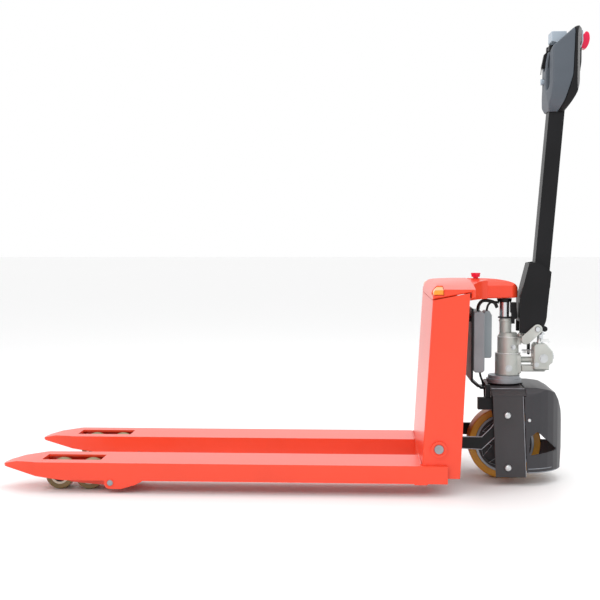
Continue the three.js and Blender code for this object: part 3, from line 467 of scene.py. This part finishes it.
def cover_rims(body):
    """Two light grey beads round the back of the drive cover, painted highlights along its bottom rim,
    on an oval that is cut off flat behind.
    """
    middle_x, reach, flat, half_width = 320, 120, 116.5, 132
    steps, end_angle = 20, 84
    for name, z, radius in (("rim_top", 49, 1.2), ("rim_low", 38.5, 1.5)):
        points = []
        for k in range(-steps, steps + 1):
            turn = math.radians(end_angle * k / steps)
            x = middle_x + min(reach * math.cos(turn), flat)
            points.append((x, half_width * math.sin(turn), z))
        strip(f"cover_{name}", points, radius, EDGE_HIGHLIGHT, body, "cover_plastic")


# ---- pump and tiller ----
PUMP_X = 288.5
RAM_X = 277
HEX_HEIGHT = 5
PLUGS = (  # name, place, direction, width across the flats
    ("pump_plug_low", (287, -35.6, 324), (0, -1, 0), 14),
    ("pump_plug_far", (287, 35.6, 324), (0, 1, 0), 14),
    ("pump_plug_mid", (300, -28.2, 385), (0.4, -1, 0), 11),
    ("block_plug_near", (388, -28, 352), (0, -1, 0), 18),
    ("block_plug_far", (388, 28, 352), (0, 1, 0), 18),
    ("block_plug_low", (368, -28, 334), (0, -1, 0), 10),
    ("block_plug_back", (415, 0, 356), (1, 0, 0), 16),
)


def pump_details():
    body = "steering_column"
    for name, z, radius in (("ring_low", 364, 36.6), ("ring_top", 412, 31.2)):
        inner = radius - 6
        ring = [(inner, z), (radius, z), (radius + 1, z + 1.5), (radius, z + 3), (inner, z + 3)]
        adopt(turned(f"pump_{name}", ring, row(PUMP_X, 0, 0), "Z", 72), CAST_BRIGHT, body, "cast_silver")
    seal = [(14.6, 468.2), (18.5, 468.2), (18, 472), (14.6, 473)]
    adopt(turned("ram_seal", seal, row(RAM_X, 0, 0), "Z", 48), RUBBER, body, "black_plastic")
    for name, place, way, across in PLUGS:
        hex_bolt(name, place, way, across, HEX_HEIGHT, body)
    return_spring(body)
    hook_low, hook_high = -24, -19
    hook = [(377, 401), (399, 401), (402, 397), (407, 400), (403, 408), (377, 408)]
    stem = [(372, 392), (379, 392), (381, 408), (374, 408)]
    for name, outline in (("hook_lever", hook), ("hook_stem", stem)):
        adopt(prism(name, outline, hook_low, hook_high, 0.8), CAST_BRIGHT, body, "cast_silver")


def return_spring(body):
    turns, steps_a_turn, coil_radius, wire_radius = 8, 12, 5, 1.0
    start_x, length, y, z = 328, 30, -14, 372
    steps = turns * steps_a_turn
    coil = []
    for k in range(steps + 1):
        turn = 2 * math.pi * k / steps_a_turn
        x = start_x + length * k / steps
        coil.append((x, y + coil_radius * math.cos(turn), z + coil_radius * math.sin(turn)))
    strip("return_spring", coil, wire_radius, ZINC, body, "bright_steel")


def head_details():
    pad = [(473, 1296), (488, 1292), (489, 1262), (477, 1222), (472, 1230)]  # (x, z)
    inner, outer = 17, 34
    for side, s in SIDES:
        low, high = sorted((s * inner, s * outer))
        piece = prism(f"head_pad_{side}", pad, low, high, 2.5)
        adopt(piece, HEAD_LIGHT, "tiller", "head_light_grey")
    for side, s in SIDES:
        seam = [(394, s * 60, 1236), (387, s * 66, 1205), (385, s * 66, 1180)]
        strip(f"head_seam_{side}", seam, 1.1, SOFT_BLACK, "tiller", "black_plastic")


# ---- frame: welds, cables ----
LEAD_RADIUS = 3.2
LEADS = (
    ("box_lead", [(226, 0, 490), (228, 4, 504), (236, 8, 514), (250, 8, 516), (262, 6, 512)]),
    ("box_lead_side", [(196, -40, 490), (198, -40, 508), (206, -30, 518), (214, -12, 521)]),
    ("low_lead", [(205, -20, 316), (206, -20, 300), (212, -16, 290), (216, -10, 276), (216, -8, 269)]),
)
ARM_PIVOT_X, ARM_PIVOT_Z = -831, 30
COLLAR_OUTER = 281.8  # |y| of the outer face of the collars round the arm pins


def frame_details():
    body, slot = "fork_frame", "frame_paint"
    for side, s in SIDES:
        front = [(23.6, s * 122, 85.6), (23.6, s * 262, 85.6)]
        strip(f"weld_front_{side}", front, 2.0, RED, body, slot)
        along = [(25, s * 265.4, 85.4), (94, s * 265.4, 85.4)]
        strip(f"weld_side_{side}", along, 1.6, RED, body, slot)
        outer, inner = s * COLLAR_OUTER, s * 280.2
        collar = [(8.4, outer), (11, outer), (11, inner), (8.4, inner)]
        centre = row(ARM_PIVOT_X, 0, ARM_PIVOT_Z)
        adopt(turned(f"pin_collar_{side}", collar, centre, steps=40), RED, body, slot)
    for name, points in LEADS:
        hose(name, points, LEAD_RADIUS, body)


# ---- stage, light and camera ----
def make_stage():
    floor_mesh = bpy.data.meshes.new("studio_floor")
    shape = bmesh.new()
    half = 30.0
    corners = ((-half, -half), (half, -half), (half, half), (-half, half))
    shape.faces.new([shape.verts.new((x, y, 0)) for x, y in corners])
    shape.to_mesh(floor_mesh)
    shape.free()
    floor = bpy.data.objects.new("studio_floor", floor_mesh)
    bpy.context.scene.collection.objects.link(floor)
    material, _, _, shader = node_tree("studio_floor_white")
    shader.inputs["Base Color"].default_value = (0.93, 0.93, 0.93, 1)
    shader.inputs["Roughness"].default_value = 0.5
    floor_mesh.materials.append(material)
    world = bpy.data.worlds.new("studio")
    world.use_nodes = True
    background = world.node_tree.nodes["Background"]
    background.inputs["Color"].default_value = (1.0, 1.0, 1.0, 1)
    background.inputs["Strength"].default_value = 1.0
    bpy.context.scene.world = world


def area_light(name, place, target, size, power):
    data = bpy.data.lights.new(name, "AREA")
    data.shape = "RECTANGLE"
    data.size, data.size_y = size
    data.energy = power
    light = bpy.data.objects.new(name, data)
    light.location = place
    light.rotation_euler = (Vector(target) - Vector(place)).to_track_quat("-Z", "Y").to_euler()
    bpy.context.scene.collection.objects.link(light)


def make_lights():
    area_light("key_front", (-1.2, -3.4, 2.8), (0, 0, 0.3), (2.6, 1.6), 36)
    area_light("overhead", (0.2, 0.2, 3.4), (0, 0, 0), (3.4, 2.4), 34)
    area_light("rear_rim", (2.6, 1.6, 1.6), (0.5, 0, 0.5), (1.4, 1.4), 14)


def make_camera():
    data = bpy.data.cameras.new("view")
    data.lens = 67.4
    data.sensor_width = 36.0
    camera = bpy.data.objects.new("view", data)
    camera.location = (0.1855, -3.3065, 0.7171)
    pitch, roll, heading = 3.418, 0.08, 3.24  # degrees: down, tilt and turn to the left
    camera.rotation_euler = (math.radians(90 - pitch), math.radians(roll), math.radians(heading))
    bpy.context.scene.collection.objects.link(camera)
    bpy.context.scene.camera = camera


bpy.context.scene.view_settings.view_transform = "Standard"
dress_nodes()
drive_wheel()
load_rollers()
carriage_details()
pump_details()
head_details()
frame_details()
for casting in ("pump_body", "pump_block", "tiller_ears"):
    cast_skin(NODES[casting], 1.6, 4)
for moulding in ("head_front_shell", "head_back_shell"):
    cast_skin(NODES[moulding], 1.8, 14)
cast_skin(NODES["drive_cover"], 2.0, 5)
make_stage()
make_lights()
make_camera()
